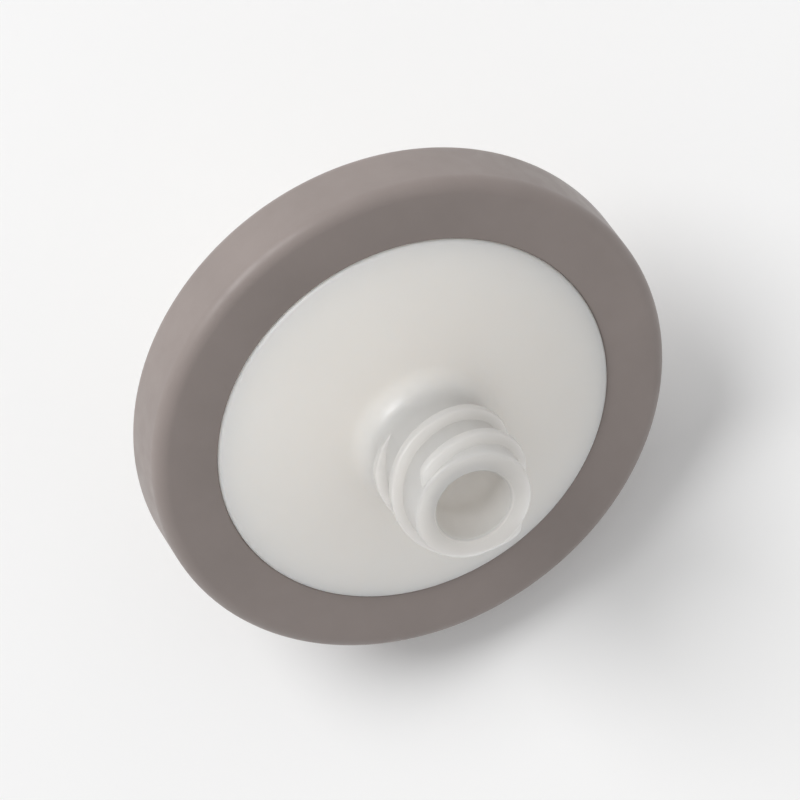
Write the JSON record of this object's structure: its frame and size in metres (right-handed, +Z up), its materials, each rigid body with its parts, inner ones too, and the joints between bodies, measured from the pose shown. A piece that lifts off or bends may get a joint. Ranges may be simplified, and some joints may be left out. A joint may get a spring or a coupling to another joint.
{
  "type": "syringe filter",
  "caption": "Disposable disc syringe filter with a threaded Luer lock inlet hub, a smooth Luer outlet tip and a moulded sealing ring round a clamped membrane.",
  "frame": {"origin": "middle of the underside of the bounding box, on the surface the filter lies on", "axes": "+Z up; the filter leans on the rim of its ring and the tip of its outlet, with the inlet leaning towards +X and the ring's diameter along Y"},
  "size_m": [0.0254, 0.03, 0.0215],
  "materials": {
    "housing": "smooth moulded natural polypropylene, milky and slightly translucent",
    "membrane": "matte white microporous polyethersulfone film",
    "ring": "satin over-moulded ring, mauve-grey and slightly translucent"
  },
  "bodies": {
    "root": {"inlet_housing": "housing", "outlet_housing": "housing", "membrane": "membrane", "sealing_ring": "ring"}
  },
  "joints": []
}
